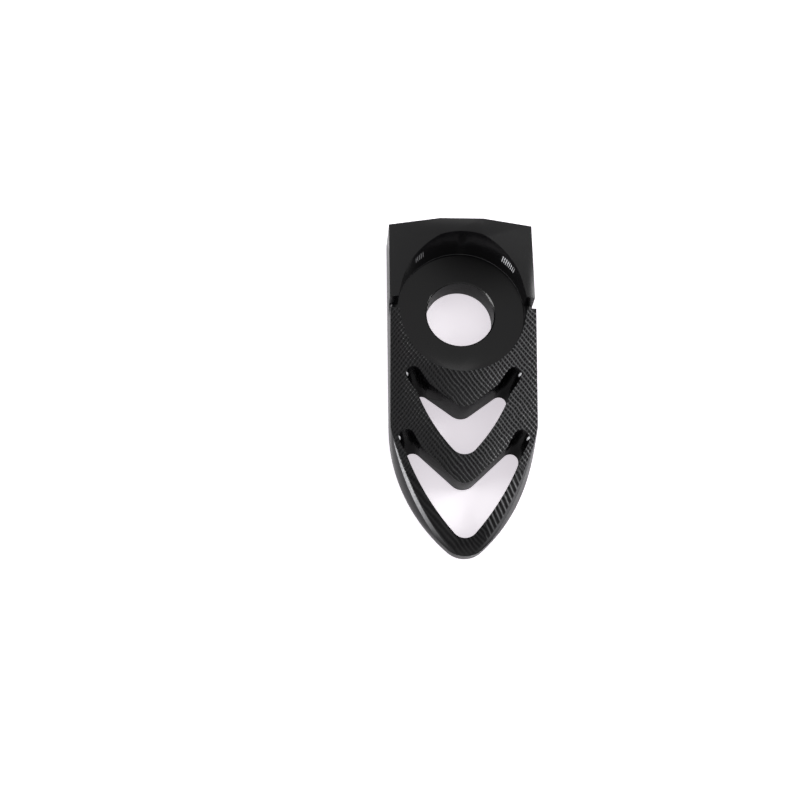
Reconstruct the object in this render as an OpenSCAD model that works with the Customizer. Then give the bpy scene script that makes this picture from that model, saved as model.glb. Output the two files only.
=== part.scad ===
// Chain adjuster block: carries a wheel axle in a swingarm slot and is pushed by an adjuster bolt.
// One milled piece, lying on its flat back. Z is the axle axis and +Y points to the bolt end.

/* [Axle seat] */
// Diameter of the axle bore
bore_d = 25; // [16:0.5:28]
// Chamfer where the bore opens into the pocket
bore_chamfer = 0.5; // [0.2:0.1:1]
// Wall left between the round pocket for the axle head and each flank
pocket_wall = 3.1; // [2.6:0.1:5.6]
// Height of the pocket floor over the back face
floor_h = 10; // [6:0.5:12]
// Lean of the pocket's two end walls, in degrees
pocket_lean = 13; // [1:1:16]

/* [Block] */
// Overall width
block_w = 53.2; // [52:0.2:60]
// From the axle to the flat bolt end
head_len = 32.2; // [31:0.2:40]
// From the axle to the tip of the tail
tail_len = 90.6; // [88:0.2:100]
// From the axle to the place where the straight sides start to curve in
shoulder_len = 42; // [36:0.5:46]
// Radius of the tip
tip_r = 9.1; // [6:0.1:10]

/* [Top] */
// Height of the flat along the middle of the bolt end
head_h = 24.4; // [22:0.2:28]
// Width of that flat
head_flat_w = 16; // [10:0.5:24]
// Fall of the bolt end's two side slopes, in degrees
head_side_fall = 18; // [8:1:22]
// Fall of the bolt end's top towards its flat end, in degrees
head_end_fall = 3; // [0:0.5:6]
// Height that the tail's sloping top would have over the axle
tail_h = 22.4; // [20:0.2:24]
// Fall of the tail's top towards the tip, in degrees
tail_fall = 11.3; // [8:0.1:12]

/* [Tail walls] */
// Rake of the cut that thins the tail's walls upwards, in degrees
rake = 31; // [30:0.5:36]
// Half width of the raked cut where its bowed sides stand widest
rake_half_w = 29.1; // [29:0.1:31]
// From the axle to that widest place
rake_wide_at = 31.7; // [28:0.1:36]
// Radius of the raked cut's bowed sides
rake_side_r = 68; // [60:0.5:76]

/* [Side notches] */
// Width of the notches across the axle line
notch_w = 5; // [3:0.5:8]
// Height of the notch floors over the back face
notch_h = 12.5; // [11:0.5:16]
// Chamfer where each notch floor meets the outer side
notch_chamfer = 1.2; // [0.4:0.1:2]

/* [Upper window] */
// Wall that the window's bowed sides would leave beside them where they would stand widest
upper_wall = 5.2; // [4.6:0.1:7.6]
// From the axle to that widest place
upper_wide_at = 9.4; // [6:0.2:14]
// Radius of the window's bowed sides
upper_side_r = 63.7; // [58:0.1:70]
// Radius of the window's round lower end
upper_end_r = 5.6; // [4:0.1:7]
// From the axle to the point of the V, before it is rounded
upper_v_at = 39.1; // [38:0.1:42]
// Rise of the V's arms, in degrees
upper_v_rise = 36.5; // [30:0.5:42]
// Radius of the point of the V
upper_v_r = 5.2; // [3:0.1:7]
// Radius of the two upper corners
upper_corner_r = 2.8; // [2:0.1:3.4]
// Lean of those corners towards the bolt end, in degrees
upper_lean = 17.5; // [1:0.5:22]

/* [Lower window] */
// How far past the block's flanks the window's bowed sides would reach at their widest
lower_past = 0.5; // [-0.6:0.1:1]
// From the axle to that widest place
lower_wide_at = 21.7; // [19:0.1:24]
// Radius of the window's bowed sides
lower_side_r = 91; // [86:0.5:94]
// Radius of the window's round lower end
lower_end_r = 5.1; // [4:0.1:6]
// From the axle to the point of the V, before it is rounded
lower_v_at = 67; // [65:0.1:69]
// Rise of the V's arms, in degrees
lower_v_rise = 43.5; // [38:0.5:48]
// Radius of the point of the V
lower_v_r = 5.4; // [3:0.1:7]
// Radius of the two upper corners
lower_corner_r = 3.1; // [2:0.1:3.6]
// Lean of those corners towards the bolt end, in degrees
lower_lean = 22; // [1:0.5:26]

/* [Both windows] */
// Lean of the upper corners towards the sides, in degrees
side_lean = 12.5; // [1:0.5:14]

/* [Hidden] */
$fn = 128;
half_w = block_w / 2;
pocket_d = block_w - 2 * pocket_wall;
over = 1;
corner_step = 0.03;
corner_clear = 8;
tall = 2 * head_h;
reach = tail_len + head_len;

// Radius of the two bowed sides that run from (side_x, side_y) into a round end that reaches end_y
function bow_radius(side_x, side_y, end_y, end_r) =
    (pow(side_x, 2) - pow(end_r, 2) + pow(side_y - end_y - end_r, 2)) / (2 * (side_x - end_r));

// Height of the centre of the round end between two bowed sides
function bow_end_y(side_x, side_y, r, end_r) = side_y - sqrt(pow(r - end_r, 2) - pow(side_x - r, 2));

function unit(v) = v / norm(v);

// Two bowed sides that meet in a point below; at side_y they stand side_x from the middle
module bow(side_x, side_y, r) {
    intersection() {
        translate([side_x - r, side_y])
            circle(r = r);
        translate([r - side_x, side_y])
            circle(r = r);
    }
}

// The same with the point below rounded
module round_bow(side_x, side_y, r, end_r) {
    end_y = bow_end_y(side_x, side_y, r, end_r);
    chord_y = end_y + end_r * (end_y - side_y) / (r - end_r);
    intersection() {
        bow(side_x, side_y, r);
        translate([-r, chord_y])
            square(2 * r);
    }
    translate([0, end_y])
        circle(r = end_r);
}

// Outline of the whole block on its back face
module outline() {
    r = bow_radius(half_w, -shoulder_len, -tail_len, tip_r);
    translate([-half_w, -shoulder_len])
        square([block_w, shoulder_len + head_len]);
    intersection() {
        round_bow(half_w, -shoulder_len, r, tip_r);
        translate([-half_w, -tail_len - over])
            square([block_w, tail_len + over - shoulder_len]);
    }
}

// Space inside the raked cut that thins the tail's walls upwards
module raked_space() {
    rotate([-rake, 0, 0])
        linear_extrude(height = 4 * reach, center = true) {
            bow(rake_half_w, -rake_wide_at * cos(rake), rake_side_r);
            translate([-rake_half_w, -rake_wide_at * cos(rake)])
                square([2 * rake_half_w, 2 * reach]);
        }
}

// Everything under the bolt end's roof: a flat along the middle with a slope to each side
module under_head_roof() {
    drop = (half_w - head_flat_w / 2) * tan(head_side_fall);
    translate([0, head_len, 0])
        rotate([-head_end_fall, 0, 0])
            rotate([90, 0, 0])
                linear_extrude(height = 2 * reach, center = true)
                    polygon([
                        [-half_w, -over - reach],
                        [half_w, -over - reach],
                        [half_w, head_h - drop],
                        [head_flat_w / 2, head_h],
                        [-head_flat_w / 2, head_h],
                        [-half_w, head_h - drop]
                    ]);
}

// Everything under the tail's sloping top
module under_tail_top() {
    translate([0, 0, tail_h])
        rotate([tail_fall, 0, 0])
            translate([-block_w, -2 * reach, -2 * reach])
                cube([2 * block_w, 4 * reach, 2 * reach]);
}

// The solid block before anything is cut out of it
module blank() {
    intersection() {
        linear_extrude(height = tall)
            outline();
        under_head_roof();
        translate([-block_w, 0, -over])
            cube([2 * block_w, head_len + over, tall]);
    }
    intersection() {
        linear_extrude(height = tall)
            outline();
        under_tail_top();
        raked_space();
        translate([-block_w, -tail_len - over, -over])
            cube([2 * block_w, tail_len + over, tall]);
    }
}

// Bore for the axle, chamfered where it opens into the pocket
module axle_bore() {
    r = bore_d / 2;
    translate([0, 0, -over])
        cylinder(h = floor_h + 2 * over, r = r);
    translate([0, 0, floor_h - bore_chamfer])
        cylinder(h = bore_chamfer + over, r1 = r, r2 = r + bore_chamfer + over);
}

// Round pocket whose side walls stand upright and whose end walls lean outwards
module pocket() {
    intersection() {
        union() {
            cylinder(h = tall, d = pocket_d);
            for (lean = [-pocket_lean, pocket_lean])
                translate([0, 0, floor_h])
                    rotate([lean, 0, 0])
                        cylinder(h = 3 * tall, d = pocket_d * cos(pocket_lean), center = true);
        }
        translate([-half_w, -reach, floor_h])
            cube([block_w, 2 * reach, tall]);
    }
}

// Slot across both sides on the axle line, chamfered where its floor meets the outer sides
module notches() {
    rotate([90, 0, 0])
        linear_extrude(height = notch_w, center = true)
            polygon([
                [-block_w, notch_h - block_w + half_w - notch_chamfer],
                [-half_w + notch_chamfer, notch_h],
                [half_w - notch_chamfer, notch_h],
                [block_w, notch_h - block_w + half_w - notch_chamfer],
                [block_w, tall],
                [-block_w, tall]
            ]);
}

// Centre of the circle that rounds the corner between a bowed side and an arm of the V
function corner_centre(side_x, side_y, r, v_y, rise, corner_r) =
    let (
        s = tan(rise),
        x0 = side_x - r,
        y0 = v_y - corner_r / cos(rise),
        a = 1 + s * s,
        b = 2 * (s * (y0 - side_y) - x0),
        c = pow(x0, 2) + pow(y0 - side_y, 2) - pow(r - corner_r, 2),
        x = (sqrt(b * b - 4 * a * c) - b) / (2 * a)
    ) [x, y0 + s * x];

// The V of metal that reaches down into a window, with its point rounded
module v_tongue(v_y, rise, v_r) {
    touch_x = v_r * sin(rise);
    touch_y = v_y + touch_x * tan(rise);
    top = v_y + block_w * tan(rise);
    polygon([
        [-touch_x, touch_y],
        [touch_x, touch_y],
        [block_w, top],
        [block_w, top + reach],
        [-block_w, top + reach],
        [-block_w, top]
    ]);
    translate([0, v_y + v_r / cos(rise)])
        circle(r = v_r);
}

// Whatever lies outside the rounded corner on the +X side
module corner_waste(side_x, side_y, r, rise, corner_r, centre) {
    to_arm = [-sin(rise), cos(rise)];
    to_side = unit(centre - [side_x - r, side_y]);
    away = corner_clear * corner_r * unit(to_arm + to_side);
    on_arm = centre + corner_r * to_arm;
    on_side = centre + corner_r * to_side;
    polygon([on_arm, on_side, on_side + away, on_arm + away]);
}

// Cut from a window's upper corner on the +X side to the same corner leaned outwards
module leaning_corner(centre, corner_r, lean) {
    across = tan(side_lean);
    along = tan(lean);
    slope = norm([across, along]);
    translate(centre)
        rotate([0, 0, atan2(along, across)]) {
            rotate([0, atan(slope), 0])
                cylinder(h = 3 * tall, r = corner_r - corner_step, center = true);
            rotate([90, 0, 0])
                linear_extrude(height = 2 * (corner_r - 2 * corner_step), center = true)
                    polygon([[0, 0], [tall * slope, tall], [0, tall]]);
        }
}

// Window with bowed sides, a round lower end and a V of metal reaching into it from above
module window(side_x, side_y, r, end_r, v_y, rise, v_r, corner_r, lean) {
    centre = corner_centre(side_x, side_y, r, v_y, rise, corner_r);
    translate([0, 0, -over])
        linear_extrude(height = tall) {
            difference() {
                round_bow(side_x, side_y, r, end_r);
                v_tongue(v_y, rise, v_r);
                for (side = [0, 1])
                    mirror([side, 0])
                        corner_waste(side_x, side_y, r, rise, corner_r, centre);
            }
            for (side = [0, 1])
                mirror([side, 0])
                    intersection() {
                        translate(centre)
                            circle(r = corner_r);
                        corner_waste(side_x, side_y, r, rise, corner_r, centre);
                    }
        }
    intersection() {
        for (side = [0, 1])
            mirror([side, 0, 0])
                leaning_corner(centre, corner_r, lean);
        translate([-half_w, -tail_len, 0])
            cube([block_w, tail_len, tall]);
    }
}

module axle_block() {
    color([0.11, 0.11, 0.12])
        difference() {
            blank();
            axle_bore();
            pocket();
            notches();
            window(half_w - upper_wall, -upper_wide_at, upper_side_r, upper_end_r,
                -upper_v_at, upper_v_rise, upper_v_r, upper_corner_r, upper_lean);
            window(half_w + lower_past, -lower_wide_at, lower_side_r, lower_end_r,
                -lower_v_at, lower_v_rise, lower_v_r, lower_corner_r, lower_lean);
        }
}

axle_block();
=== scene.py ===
import math

import bpy
from bpy.props import FloatProperty, FloatVectorProperty, PointerProperty
from bpy.types import Operator, Panel, PropertyGroup
from mathutils import Matrix, Vector


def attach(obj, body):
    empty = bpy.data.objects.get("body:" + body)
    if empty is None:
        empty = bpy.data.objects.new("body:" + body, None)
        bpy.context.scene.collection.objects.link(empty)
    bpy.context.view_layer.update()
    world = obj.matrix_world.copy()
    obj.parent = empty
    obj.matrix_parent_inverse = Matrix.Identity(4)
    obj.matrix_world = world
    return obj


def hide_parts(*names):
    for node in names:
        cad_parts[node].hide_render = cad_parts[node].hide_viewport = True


bl_info = {
    "name": "Chain Adjuster Block",
    "version": (1, 0, 0),
    "blender": (4, 5, 0),
    "location": "View3D > Sidebar > Adjuster",
    "description": "Finishes a milled, black anodised chain adjuster block on a pale floor",
    "category": "Object",
}

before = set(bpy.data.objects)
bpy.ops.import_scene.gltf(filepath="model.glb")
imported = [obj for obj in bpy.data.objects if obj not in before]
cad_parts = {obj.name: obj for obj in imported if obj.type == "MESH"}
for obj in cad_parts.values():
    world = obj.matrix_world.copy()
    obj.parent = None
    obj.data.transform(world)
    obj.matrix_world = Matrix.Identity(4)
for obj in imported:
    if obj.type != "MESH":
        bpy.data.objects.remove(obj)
BLOCK = "axle_block"
MM = 0.001

# Where the surfaces of the block lie, in millimetres and degrees, as in the solid model
TAIL_TOP_HEIGHT = 22.4
TAIL_TOP_FALL = 11.3
POCKET_FLOOR = 10.0
POCKET_RADIUS = 23.5

# Leaning cylinders that bevel the top edges of the tail's walls, in millimetres and degrees
TAIL_BEVEL_LEAN = 57.0
TAIL_BEVEL_RADIUS = 51.6
TAIL_BEVEL_HALF_WIDTH = 38.0
TAIL_BEVEL_WIDEST = 6.8
CYLINDER_SIDES = 512
CYLINDER_LENGTH = 400

# Clean-up of the merged mesh, in millimetres and degrees
MERGE_REACH = 0.002
FLAT_WITHIN = 0.3
EDGE_OVER = 28
SMOOTH_UNDER = 24

# Directions of the cutter's grooves on the tail's top, in degrees
FALLING_GROOVES = 50
RISING_GROOVES = 128
STRIP_GROOVES = 66

# Painted glints on the chatter marks of the pocket's wall: where around the bore and how far to
# each side, in degrees
RIGHT_CHATTER_GLINTS = (44, 7)
LEFT_CHATTER_GLINTS = (129, 4)
CHATTER_STEP = 2.1
CHATTER_HEIGHT = 17.6

# Painted highlights at a corner of the lower and of the upper window, from the bore's axis, in
# millimetres
GLINT_CORNERS = ((23.2, -48.8), (20.4, -26.0))
# Colour of every painted highlight
HIGHLIGHT_PAINT = (0.9, 0.9, 0.93, 1)

# Colour of the floor's own light, and where the room darkens on the unit sphere of its directions
FLOOR_GLOW = (1, 0.93, 1, 1)
DARKENS_FROM = 0.95
DARK_ABOVE = 0.985

# Name, place, side length and share of the lamp power
LAMPS = (
    ("lamp_left", (-0.75, -0.12, 0.20), 0.45, 0.9),
    ("lamp_right", (0.78, 0.10, 0.34), 0.5, 1.0),
    ("lamp_back", (0.05, 0.85, 0.55), 0.6, 0.12),
)

# The photograph's camera, in the block's frame
CAMERA_PLACE = (-0.0577, -0.2322, 0.5670)
FOCAL_PIXELS = 1634.5
PHOTO_SIDE = 800
SENSOR = 36.0


class Wire:
    """One output of a shader node; sums and products of wires add Math nodes."""

    def __init__(self, paint, socket):
        self.paint = paint
        self.socket = socket

    def math(self, operation, *others):
        values = dict(enumerate((self, *others)))
        return self.paint.node("ShaderNodeMath", {"operation": operation}, values)

    def __add__(self, other):
        return self.math("ADD", other)

    def __radd__(self, other):
        return self.math("ADD", other)

    def __sub__(self, other):
        return self.math("SUBTRACT", other)

    def __rsub__(self, other):
        return self.paint.node("ShaderNodeMath", {"operation": "SUBTRACT"}, {0: other, 1: self})

    def __mul__(self, other):
        return self.math("MULTIPLY", other)

    def __rmul__(self, other):
        return self.math("MULTIPLY", other)

    def __truediv__(self, other):
        return self.math("DIVIDE", other)

    def __pow__(self, other):
        return self.math("POWER", other)

    def __abs__(self):
        return self.math("ABSOLUTE")

    def fraction(self):
        return self.math("FRACT")

    def least(self, other):
        return self.math("MINIMUM", other)

    def most(self, other):
        return self.math("MAXIMUM", other)

    def rise(self, low, high):
        """0 below low and 1 above high, with a smooth step between."""
        settings = {"interpolation_type": "SMOOTHSTEP"}
        return self.paint.node("ShaderNodeMapRange", settings, {0: self, 1: low, 2: high})

    def near(self, value, reach, soft):
        """1 within reach of value, fading to 0 over soft."""
        return 1 - abs(self - value).rise(reach, reach + soft)


class Paint:
    """A material under construction."""

    def __init__(self, name):
        self.material = bpy.data.materials.new(name)
        self.material.use_nodes = True
        self.tree = self.material.node_tree
        self.tree.nodes.clear()

    def node(self, kind, settings=None, inputs=None, output=0):
        made = self.tree.nodes.new(kind)
        for name, value in (settings or {}).items():
            setattr(made, name, value)
        for name, value in (inputs or {}).items():
            if isinstance(value, Wire):
                self.tree.links.new(value.socket, made.inputs[name])
            else:
                made.inputs[name].default_value = value
        return Wire(self, made.outputs[output])

    def millimetres(self):
        """The object coordinates in millimetres, as one vector and one by one."""
        place = self.node("ShaderNodeTexCoord", output=3)
        scaled = self.node("ShaderNodeVectorMath", {"operation": "SCALE"}, {0: place, 3: 1 / MM})
        parts = [self.node("ShaderNodeSeparateXYZ", inputs={0: scaled}, output=i) for i in range(3)]
        return scaled, *parts

    def noise(self, vector, scale, detail=3.0, roughness=0.5):
        inputs = {"Vector": vector, "Scale": scale, "Detail": detail, "Roughness": roughness}
        return self.node("ShaderNodeTexNoise", inputs=inputs)

    def vector(self, operation, *values):
        settings = {"operation": operation}
        return self.node("ShaderNodeVectorMath", settings, dict(enumerate(values)))

    def mix_color(self, factor, low, high):
        settings = {"data_type": "RGBA"}
        return self.node("ShaderNodeMix", settings, {0: factor, 6: low, 7: high}, output=2)

    def finish(self, shader):
        """Connects the shader to the material's surface and returns the material."""
        made = self.tree.nodes.new("ShaderNodeOutputMaterial")
        self.tree.links.new(shader.socket, made.inputs["Surface"])
        return self.material


class Cut:
    """A set of parallel grooves left by a ball cutter on the tail's top."""

    def __init__(self, degrees, pitch, x, y, drift):
        self.across = (math.sin(math.radians(degrees)), math.cos(math.radians(degrees)))
        across = x * self.across[0] + y * self.across[1] + drift
        self.offset = ((across / pitch).fraction() - 0.5) * 2

    def lean(self, share):
        """Lean of the surface along x and y, greatest at the ridges."""
        return self.offset * share * -self.across[0], self.offset * share * -self.across[1]

    def ridge(self):
        """1 along the ridges between the grooves."""
        return abs(self.offset).rise(0.45, 1.0)


def tail_bevel(x, y, z):
    """1 on the bevel along the top edges of the tail's walls."""
    lean = math.radians(TAIL_BEVEL_LEAN)
    out = abs(x) + (TAIL_BEVEL_RADIUS - TAIL_BEVEL_HALF_WIDTH)
    along = (y + TAIL_BEVEL_WIDEST) * math.cos(lean) - z * math.sin(lean)
    away = (out * out + along * along) ** 0.5 - TAIL_BEVEL_RADIUS
    return away.near(0, 0.03, 0.04) * (1 - y.rise(-52, -46)) * z.rise(4, 6)


def glint(x, y, place, reach):
    """1 on a small spot at the same place on both sides."""
    dx, dy = abs(x) - place[0], y - place[1]
    return 1 - ((dx * dx + dy * dy) ** 0.5).rise(reach * 0.4, reach)


def tail_grooves(paint, settings, x, y, life, drift):
    """The lean that the cutter's grooves give the tail's top, and a painted highlight on the ridges
    between them.
    """
    right = x.rise(0, 17)
    left = 1 - x.rise(-17, -4)
    strip = 1 - y.rise(-66, -56)
    tip = 1 - y.rise(-84, -72)
    right_strip = strip * x.rise(6, 9)

    pitch = settings.groove_pitch
    falling = Cut(FALLING_GROOVES, pitch * 1.1, x, y, drift)
    rising = Cut(RISING_GROOVES, pitch * 0.85, x, y, drift)
    bars = Cut(STRIP_GROOVES, pitch * 1.3, x, y, drift * 0.3)
    falling_share = (1 - left * 0.6) * (1 - right_strip) * (1 - tip * 0.5)
    rising_share = (0.25 + left * 0.75 + right * 0.3) * (1 - strip * 0.85)
    bars_share = right_strip * (1 - tip * 0.6)

    shares = ((falling, falling_share), (rising, rising_share), (bars, bars_share))
    leans = [cut.lean(share * life * settings.groove_steepness) for cut, share in shares]
    along_x, along_y = zip(*leans)
    lean = paint.node("ShaderNodeCombineXYZ", inputs={0: sum(along_x), 1: sum(along_y)})

    # Painted highlight on the ridges, brighter towards the right where the lamp falls, fainter at
    # the tip
    lit = 0.06 + x.rise(-12, 16) * 0.75 * (1 - tip * 0.9)
    ridges = (falling.ridge() * falling_share).most(rising.ridge() * rising_share * 0.8)
    return lean, (ridges * lit).most(bars.ridge() * bars_share * 1.3) * life


def pocket_highlights(x, y, z, out, drift, patchy):
    """Painted highlights on the pocket's end wall: glints on its chatter marks and a faint light
    line along its foot.
    """
    wall = out.near(26, 2.65, 0.1) * (1 - abs(x).rise(25.8, 26.2)) * y.rise(4, 5)
    angle = y.math("ARCTAN2", x) * math.degrees(1)
    dashes = (angle / CHATTER_STEP + drift * 0.2 + patchy * 0.5).fraction().near(0.5, 0.1, 0.12)
    # Bright glints painted on the chatter marks, fainter on the left
    chatter_glints = angle.near(*RIGHT_CHATTER_GLINTS, 2) + angle.near(*LEFT_CHATTER_GLINTS, 2) * 0.3
    chatter_glints = chatter_glints * dashes * (z + drift * 1.5).near(CHATTER_HEIGHT, 1.2, 0.9)
    # Painted highlight: a faint light line along the wall's foot
    foot = z.near(POCKET_FLOOR + 1.1, 0.12, 0.15)
    return (chatter_glints * 0.8).most(foot * 0.05) * wall


def anodised_milled(settings):
    """Black anodised aluminium with the cutter's marks and painted highlights."""
    paint = Paint("black_anodised")
    place, x, y, z = paint.millimetres()
    drift = (paint.noise(place, 0.22, 2.0) - 0.5) * 1.2
    patchy = paint.noise(place, 0.9, 3.0)
    out = (x * x + y * y) ** 0.5

    level = z - y * math.tan(math.radians(TAIL_TOP_FALL))
    on_tail_top = level.near(TAIL_TOP_HEIGHT, 0.15, 0.15) * (1 - y.rise(-2.4, -2))
    on_floor = z.near(POCKET_FLOOR, 0.05, 0.05) * (1 - out.rise(POCKET_RADIUS, POCKET_RADIUS + 0.3))

    life = on_tail_top * (0.45 + patchy * 0.8)
    lean, ridges = tail_grooves(paint, settings, x, y, life, drift)
    # Painted highlight along the bevel on the tail walls' top edges, strongest on the left middle
    left_middle = (1 - x.rise(-1, 1)) * y.rise(-86, -66)
    bevel_highlight = 0.06 + left_middle * (0.06 + patchy * 0.34)
    bevel_highlight = bevel_highlight * tail_bevel(x, y, z) * (1 - on_tail_top)
    # Painted highlights at the outer corner of each window, near the top
    lower, upper = (glint(x, y, corner, 0.6) for corner in GLINT_CORNERS)
    corner_glints = lower.most(upper) * level.rise(19.4, 20.4)
    # Every painted highlight: on the tail's bevel, the windows' corner spots, the chatter marks and
    # the ridges
    painted_highlights = bevel_highlight.most(corner_glints * 0.7).most(pocket_highlights(x, y, z, out, drift, patchy))
    painted_highlights = painted_highlights.most(ridges * 0.12).least(1.0)

    grain = paint.noise(place, 5.0, 4.0, 0.65)
    squeezed = paint.node("ShaderNodeMapping", inputs={"Vector": place, "Scale": (0.35, 0.35, 5.0)})
    height = grain * 0.004 + paint.noise(squeezed, 1.5) * 0.003 * (1 - on_tail_top)
    bump = paint.node("ShaderNodeBump", inputs={"Strength": 1.0, "Distance": MM, "Height": height})
    normal = paint.vector("NORMALIZE", paint.vector("ADD", bump, lean))

    shade = paint.noise(place, 0.12, 3.0)
    dark, light = ((*(part * share for part in settings.color[:3]), 1) for share in (0.8, 1.3))
    # Painted highlights laid over a black whose tone varies at random
    color = paint.mix_color(painted_highlights, paint.mix_color(shade, dark, light), HIGHLIGHT_PAINT)
    rough = 0.2 + shade * 0.06 + grain * 0.05 - on_floor * 0.1
    return paint.finish(paint.node("ShaderNodeBsdfPrincipled", inputs={
        "Base Color": color, "Roughness": rough, "Metallic": 0.0, "IOR": 1.45, "Normal": normal}))


def pale_floor(settings):
    """Matt white floor that keeps shadows and is lifted to white only for what sees it."""
    paint = Paint("pale_floor")
    matt = paint.node("ShaderNodeBsdfDiffuse", inputs={"Color": (*settings.floor_color[:3], 1)})
    camera = paint.node("ShaderNodeLightPath", output=0)
    glossy = paint.node("ShaderNodeLightPath", output=3)
    seen = camera * settings.floor_lift + glossy * settings.floor_glint
    glow = paint.node("ShaderNodeEmission", inputs={"Color": FLOOR_GLOW, "Strength": seen})
    return paint.finish(paint.node("ShaderNodeAddShader", inputs={0: matt, 1: glow}))


def select_only(obj):
    bpy.ops.object.select_all(action="DESELECT")
    obj.select_set(True)
    bpy.context.view_layer.objects.active = obj


class BlockSizes(PropertyGroup):
    """Sizes and colour of the block's finish."""

    edge_break: FloatProperty(
        name="Edge break", description="Width of the small bevel on every edge",
        default=0.3 * MM, min=0.05 * MM, max=0.8 * MM, unit="LENGTH", precision=5)
    groove_pitch: FloatProperty(
        name="Groove pitch", description="Distance between the cutter's grooves, in millimetres",
        default=1.3, min=0.3, max=2.0)
    groove_steepness: FloatProperty(
        name="Groove steepness", description="Slope of the grooves' sides at their ridges",
        default=0.4, min=0.0, max=1.0)
    color: FloatVectorProperty(
        name="Colour", description="Colour of the anodised surface", subtype="COLOR", size=3,
        default=(0.0013, 0.0012, 0.0016), min=0, max=1)


class StageSizes(PropertyGroup):
    """Floor, lamps and camera."""

    floor_size: FloatProperty(
        name="Floor size", description="Side of the square floor",
        default=6.0, min=1.0, unit="LENGTH")
    floor_color: FloatVectorProperty(
        name="Floor colour", description="Colour of the floor", subtype="COLOR", size=3,
        default=(0.86, 0.85, 0.87), min=0, max=1)
    floor_lift: FloatProperty(
        name="Floor lift", description="Light that the floor adds for the camera",
        default=0.55, min=0, max=1)
    floor_glint: FloatProperty(
        name="Floor glint", description="Light that the floor adds in reflections",
        default=0.04, min=0, max=1)
    lamp_power: FloatProperty(
        name="Lamp power", description="Power of each side lamp", default=7.5, min=0, unit="POWER")
    ceiling: FloatProperty(
        name="Ceiling", description="Brightness right overhead, as a share of the surroundings",
        default=0.12, min=0, max=1)
    sky: FloatProperty(
        name="Surroundings", description="Brightness of the room around the floor",
        default=0.6, min=0, max=2)


class ADJUSTER_OT_block(Operator):
    """Breaks the edges of the block and gives it its anodised finish"""

    bl_idname = "adjuster.block"
    bl_label = "Finish the block"

    def execute(self, context):
        settings = context.scene.adjuster_block
        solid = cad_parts[BLOCK]
        piece = bpy.data.objects.new("milled_block", solid.data.copy())
        context.scene.collection.objects.link(piece)
        select_only(piece)
        bpy.ops.object.mode_set(mode="EDIT")
        bpy.ops.mesh.select_all(action="SELECT")
        bpy.ops.mesh.remove_doubles(threshold=MERGE_REACH * MM)
        bpy.ops.mesh.dissolve_limited(angle_limit=math.radians(FLAT_WITHIN))
        bpy.ops.object.mode_set(mode="OBJECT")
        for side in (-1, 1):
            self.bevel_tail(context, piece, side)
        bevel = piece.modifiers.new("edge_break", "BEVEL")
        bevel.width = settings.edge_break
        bevel.segments = 3
        bevel.limit_method = "ANGLE"
        bevel.angle_limit = math.radians(EDGE_OVER)
        bpy.ops.object.modifier_apply(modifier=bevel.name)
        bpy.ops.object.shade_smooth_by_angle(angle=math.radians(SMOOTH_UNDER))
        material = anodised_milled(settings)
        piece.data.materials.clear()
        piece.data.materials.append(material)
        solid.data.materials.clear()
        solid.data.materials.append(material)
        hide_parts(BLOCK)
        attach(piece, "root")
        return {"FINISHED"}

    def bevel_tail(self, context, piece, side):
        """Keeps what lies inside a leaning cylinder, which bevels the top edge of one tail wall."""
        lean = math.radians(TAIL_BEVEL_LEAN)
        middle = side * (TAIL_BEVEL_HALF_WIDTH - TAIL_BEVEL_RADIUS)
        bpy.ops.mesh.primitive_cylinder_add(
            vertices=CYLINDER_SIDES, radius=TAIL_BEVEL_RADIUS * MM, depth=CYLINDER_LENGTH * MM,
            location=(middle * MM, -TAIL_BEVEL_WIDEST * MM, 0), rotation=(-lean, 0, 0))
        form = context.object
        select_only(piece)
        keep = piece.modifiers.new("tail_bevel", "BOOLEAN")
        keep.operation = "INTERSECT"
        keep.solver = "EXACT"
        keep.object = form
        bpy.ops.object.modifier_apply(modifier=keep.name)
        bpy.data.objects.remove(form)
        axis = Vector((0, math.sin(lean), math.cos(lean)))
        for face in piece.data.polygons:
            along_cylinder = abs(face.normal.dot(axis)) < 0.004
            looks_up = face.normal.z > 0.25
            face.select = along_cylinder and looks_up and face.center.x * side > 0
        bpy.ops.object.mode_set(mode="EDIT")
        bpy.ops.mesh.select_mode(type="FACE")
        bpy.ops.mesh.region_to_loop()
        bpy.ops.mesh.mark_sharp()
        bpy.ops.object.mode_set(mode="OBJECT")


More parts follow.
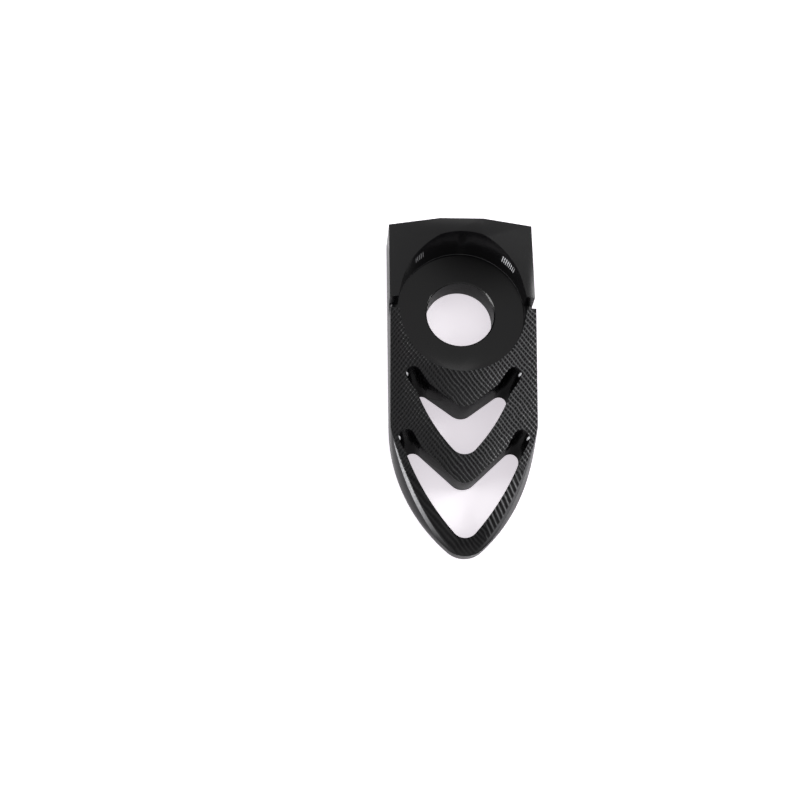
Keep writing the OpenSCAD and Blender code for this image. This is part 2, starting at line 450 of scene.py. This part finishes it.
class ADJUSTER_OT_stage(Operator):
    """Adds the pale floor, the soft lamps and the camera"""

    bl_idname = "adjuster.stage"
    bl_label = "Set the stage"

    def execute(self, context):
        settings = context.scene.adjuster_stage
        self.floor(context, settings)
        self.surroundings(context, settings)
        for name, place, side, share in LAMPS:
            self.lamp(context, name, place, side, settings.lamp_power * share)
        self.camera(context)
        return {"FINISHED"}

    def floor(self, context, settings):
        bpy.ops.object.select_all(action="DESELECT")
        bpy.ops.mesh.primitive_plane_add(size=settings.floor_size)
        floor = context.object
        floor.name = "floor"
        floor.data.materials.append(pale_floor(settings))

    def surroundings(self, context, settings):
        world = bpy.data.worlds.new("room")
        world.use_nodes = True
        context.scene.world = world
        tree = world.node_tree
        back = tree.nodes["Background"]
        back.inputs["Color"].default_value = (1, 1, 1, 1)
        seen = tree.nodes.new("ShaderNodeLightPath")
        way = tree.nodes.new("ShaderNodeTexCoord")
        height = tree.nodes.new("ShaderNodeSeparateXYZ")
        overhead = tree.nodes.new("ShaderNodeMapRange")
        overhead.inputs["From Min"].default_value = DARKENS_FROM
        overhead.inputs["From Max"].default_value = DARK_ABOVE
        overhead.inputs["To Min"].default_value = settings.sky
        overhead.inputs["To Max"].default_value = settings.sky * settings.ceiling
        level = tree.nodes.new("ShaderNodeMapRange")
        level.inputs["To Max"].default_value = 1.0
        tree.links.new(way.outputs["Generated"], height.inputs["Vector"])
        tree.links.new(height.outputs["Z"], overhead.inputs["Value"])
        tree.links.new(overhead.outputs["Result"], level.inputs["To Min"])
        tree.links.new(seen.outputs["Is Camera Ray"], level.inputs["Value"])
        tree.links.new(level.outputs["Result"], back.inputs["Strength"])

    def lamp(self, context, name, place, side, power):
        bpy.ops.object.light_add(type="AREA", location=place)
        lamp = context.object
        lamp.name = name
        lamp.data.shape = "SQUARE"
        lamp.data.size = side
        lamp.data.energy = power
        lamp.rotation_mode = "QUATERNION"
        lamp.rotation_quaternion = Vector(place).to_track_quat("Z", "Y")

    def camera(self, context):
        bpy.ops.object.camera_add(location=CAMERA_PLACE)
        camera = context.object
        camera.name = "camera"
        camera.data.sensor_width = SENSOR
        camera.data.lens = FOCAL_PIXELS * SENSOR / PHOTO_SIDE
        camera.rotation_mode = "QUATERNION"
        camera.rotation_quaternion = camera_turn().to_quaternion()
        context.scene.camera = camera


def camera_turn():
    """The photograph's camera, tipped from straight down and rolled, over a turned block."""
    tip, roll, turn = math.radians(19.87), math.radians(-9.83), math.radians(9.98)
    right = Vector((1, 0, 0))
    down = Vector((0, -math.cos(tip), -math.sin(tip)))
    across = right * math.cos(roll) + down * math.sin(roll)
    along = down * math.cos(roll) - right * math.sin(roll)
    to_block = Matrix.Rotation(-turn, 3, "Z")
    axis_x = to_block @ across
    axis_y = to_block @ -along
    return Matrix((axis_x, axis_y, axis_x.cross(axis_y))).transposed()


class ADJUSTER_PT_panel(Panel):
    """Lists the steps that dress the block"""

    bl_label = "Chain adjuster block"
    bl_idname = "ADJUSTER_PT_panel"
    bl_space_type = "VIEW_3D"
    bl_region_type = "UI"
    bl_category = "Adjuster"

    def draw(self, context):
        block = context.scene.adjuster_block
        stage = context.scene.adjuster_stage
        for name in ("edge_break", "groove_pitch", "groove_steepness", "color"):
            self.layout.prop(block, name)
        self.layout.operator("adjuster.block")
        for name in ("floor_size", "floor_color", "floor_lift", "floor_glint", "lamp_power",
                     "ceiling", "sky"):
            self.layout.prop(stage, name)
        self.layout.operator("adjuster.stage")


CLASSES = (BlockSizes, StageSizes, ADJUSTER_OT_block, ADJUSTER_OT_stage, ADJUSTER_PT_panel)


def register():
    for cls in CLASSES:
        bpy.utils.register_class(cls)
    bpy.types.Scene.adjuster_block = PointerProperty(type=BlockSizes)
    bpy.types.Scene.adjuster_stage = PointerProperty(type=StageSizes)


def unregister():
    del bpy.types.Scene.adjuster_stage
    del bpy.types.Scene.adjuster_block
    for cls in reversed(CLASSES):
        bpy.utils.unregister_class(cls)


def main():
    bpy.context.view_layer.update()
    register()
    bpy.context.scene.view_settings.view_transform = "Standard"
    bpy.ops.object.select_all(action="DESELECT")
    bpy.ops.adjuster.block()
    bpy.ops.adjuster.stage()


if __name__ == "__main__":
    main()
